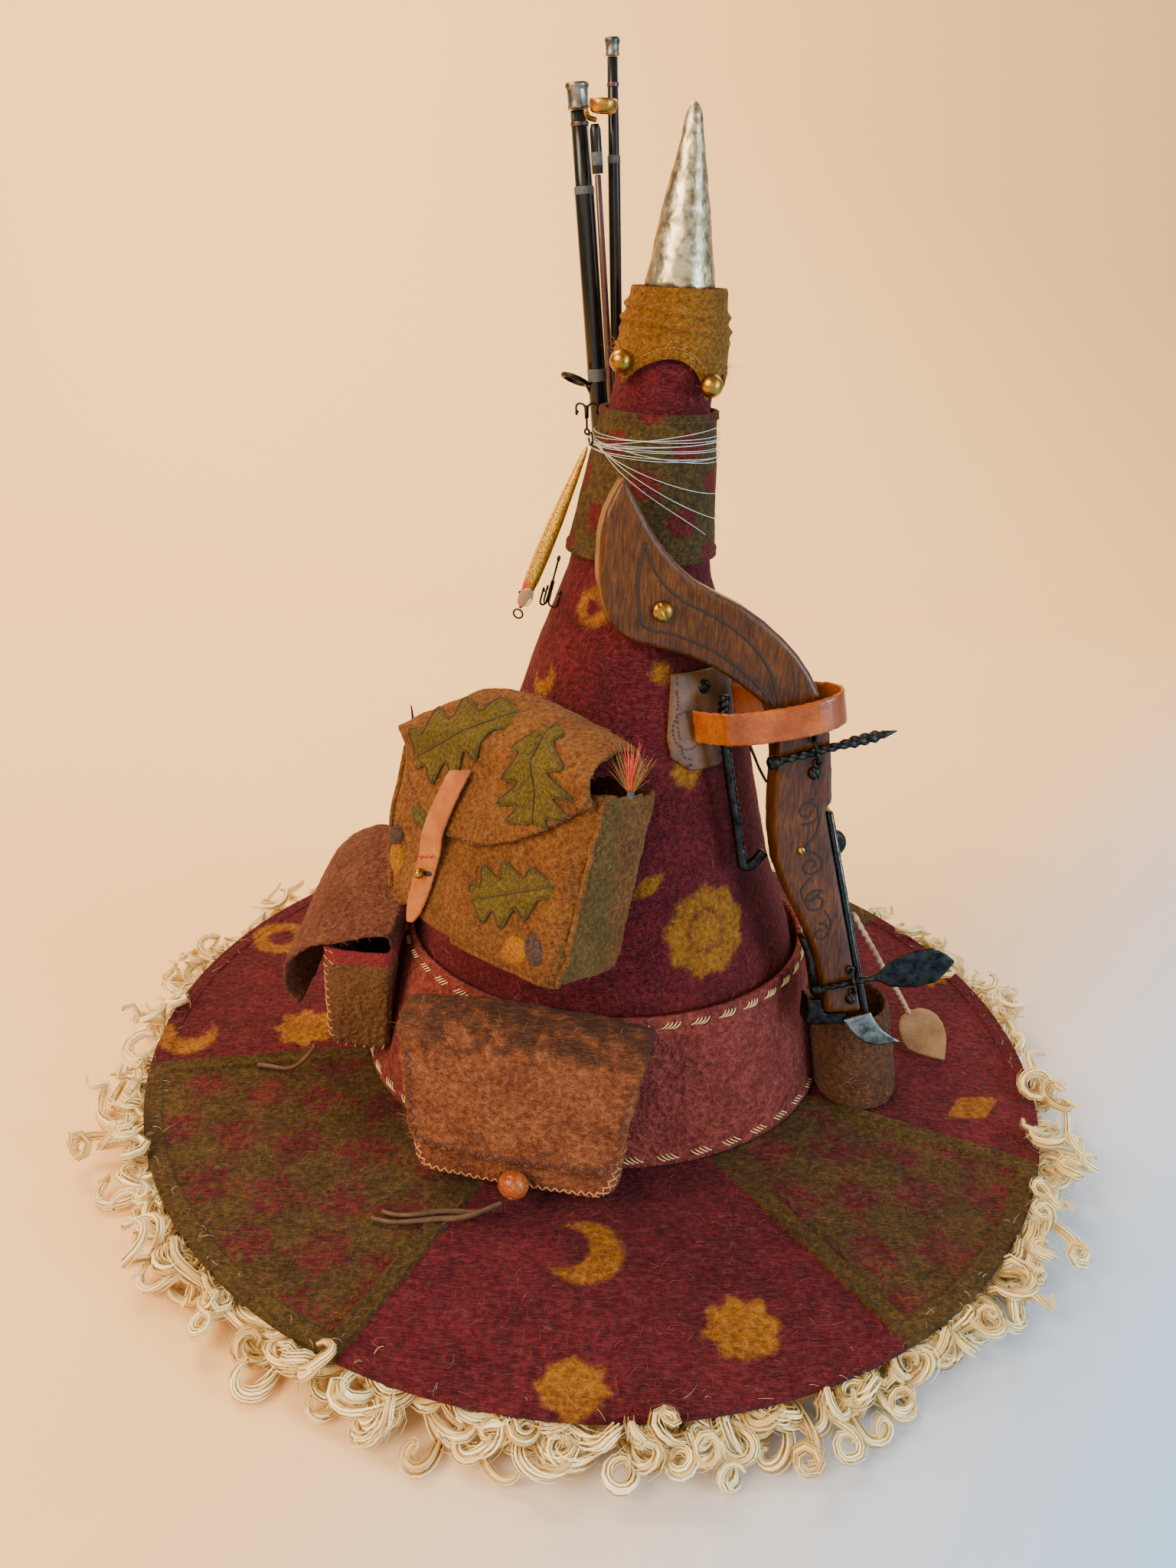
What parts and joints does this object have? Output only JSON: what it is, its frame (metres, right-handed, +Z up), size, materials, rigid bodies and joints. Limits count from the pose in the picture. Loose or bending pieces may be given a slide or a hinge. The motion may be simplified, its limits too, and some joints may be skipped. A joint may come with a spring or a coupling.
{
  "type": "wizard hat",
  "caption": "Wide-brimmed wizard hat of felt with a fleece fringe, felt bags, short fishing rods, a lure and a toy crossbow.",
  "frame": {"origin": "on the surface that the hat stands on, below the middle of the round brim", "axes": "+Z up along the crown, -Y towards the front of the hat with its middle pouch, +X towards the crossbow"},
  "size_m": [0.526, 0.5062, 0.4896],
  "materials": {
    "burgundy_felt": "fuzzy wet felt",
    "rose_felt": "felted knit",
    "olive_felt": "mottled felt",
    "brown_felt": "felt",
    "mustard_felt": "felt",
    "cream_fleece": "curled long wool",
    "tan_leather": "satin",
    "dark_leather": "worn matte",
    "stained_wood": "stained, satin varnish",
    "silver_foil": "crinkled foil",
    "satin_gold": "satin",
    "black_iron": "blackened",
    "black_lacquer": "gloss lacquer",
    "dull_steel": "dull",
    "clear_plastic": "clear"
  },
  "bodies": {
    "root": {"brim": "olive_felt", "fleece_fringe": "cream_fleece", "crown": "burgundy_felt", "hat_band": "rose_felt", "cone_wrap": "olive_felt", "gold_collar": "mustard_felt", "collar_bead_left": "satin_gold", "collar_bead_front": "satin_gold", "collar_bead_right": "satin_gold", "silver_tip": "silver_foil", "thick_rod": "black_lacquer", "thick_rod_ferrule": "dull_steel", "thick_rod_guide": "black_iron", "thin_rod": "black_lacquer", "thin_rod_ferrule": "dull_steel", "tip_rod": "black_lacquer", "tip_rod_sleeve": "black_lacquer", "tip_guide_stem": "satin_gold", "tip_guide": "satin_gold", "backpack_body": "brown_felt", "backpack_flap": "brown_felt", "backpack_strap": "tan_leather", "backpack_stud": "satin_gold", "iron_spike": "black_iron", "fishing_fly": "dark_leather", "front_pouch_body": "brown_felt", "front_pouch_flap": "brown_felt", "toggle_bead": "stained_wood", "front_tie_long": "dark_leather", "front_tie_short": "dark_leather", "left_pouch_body": "brown_felt", "left_pouch_flap": "brown_felt", "left_tie": "dark_leather", "side_pocket": "brown_felt", "tab_cord": "tan_leather", "leather_tab": "tan_leather", "holster_patch": "dark_leather", "patch_rivet": "black_iron", "holster_strap": "tan_leather", "crossbow_stock": "stained_wood", "crossbow_rail": "black_lacquer", "crossbow_left_rail": "black_iron", "crossbow_prod_block": "black_iron", "crossbow_limb": "dull_steel", "crossbow_knob": "black_iron", "crossbow_trigger": "black_iron", "crossbow_trigger_wire": "black_iron", "grip_screw": "satin_gold", "small_screw": "satin_gold", "upper_bolt": "black_iron", "upper_bolt_screw": "black_iron", "lower_bolt": "black_iron", "lower_bolt_screw": "black_iron", "lure_body": "satin_gold", "lure_lip": "clear_plastic", "lure_tail_ring": "black_iron", "lure_nose_ring": "black_iron", "lure_tail_hook": "black_iron", "lure_belly_hook": "black_iron"}
  },
  "joints": []
}
